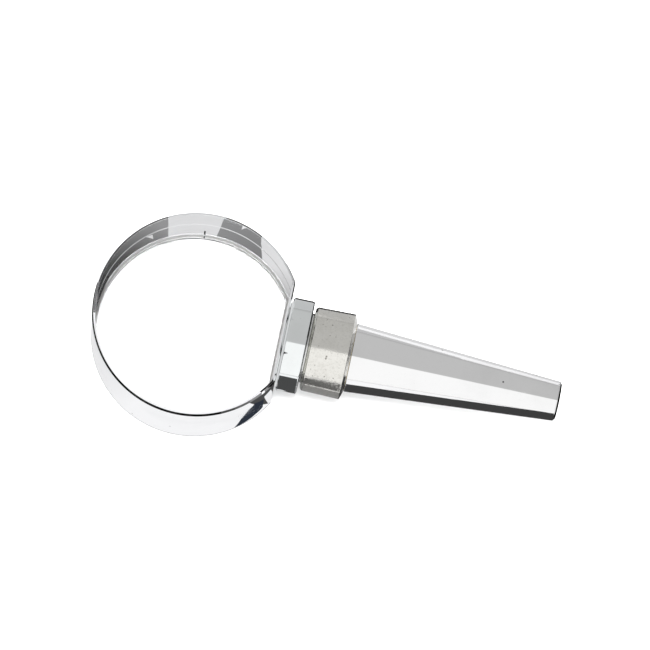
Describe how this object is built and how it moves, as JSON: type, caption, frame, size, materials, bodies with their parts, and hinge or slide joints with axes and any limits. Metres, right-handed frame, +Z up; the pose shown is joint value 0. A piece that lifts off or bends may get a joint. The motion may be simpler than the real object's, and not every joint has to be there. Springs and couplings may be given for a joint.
{
  "type": "hand magnifier",
  "caption": "Hand magnifier: a clear lens low in a deep round band with one flat side, and a tapered round handle that screws into a flange on the flat.",
  "frame": {"origin": "centre of the whole object's footprint, on the plane that the lens band stands on", "axes": "+Z up along the optical axis, +X along the handle away from the lens, +Y to its left"},
  "size_m": [0.1784, 0.078, 0.038],
  "materials": {
    "chrome_band": "polished",
    "chrome_flange": "polished",
    "chrome_handle": "polished",
    "aged_nickel": "satin",
    "ring_metal": "satin",
    "screw_steel": "satin",
    "bush_brass": "satin",
    "lens_glass": "gloss"
  },
  "bodies": {
    "lens_head": {"lens_band": "chrome_band", "lens": "lens_glass", "lens_seat_ring": "ring_metal", "lens_snap_ring": "ring_metal", "flange": "chrome_flange", "flange_screws": "screw_steel"},
    "ferrule": {"ferrule": "aged_nickel", "neck_washer": "ring_metal"},
    "handle": {"handle_stud": "screw_steel", "handle_bush": "bush_brass", "handle_shell": "chrome_handle", "end_cap": "chrome_handle"}
  },
  "joints": [
    {"name": "ferrule_slide", "type": "slide", "parent": "lens_head", "child": "ferrule", "axis": [1, 0, 0], "range_m": [0, 0.0075]},
    {"name": "handle_unscrew", "type": "hinge", "parent": "ferrule", "child": "handle", "pos_m": [0, 0, 0.019], "axis": [1, 0, 0], "range_deg": [0, 2160]}
  ],
  "couplings": [
    {"joint": "handle_unscrew", "follows": "ferrule_slide", "rad_per_m": 5026.5}
  ]
}
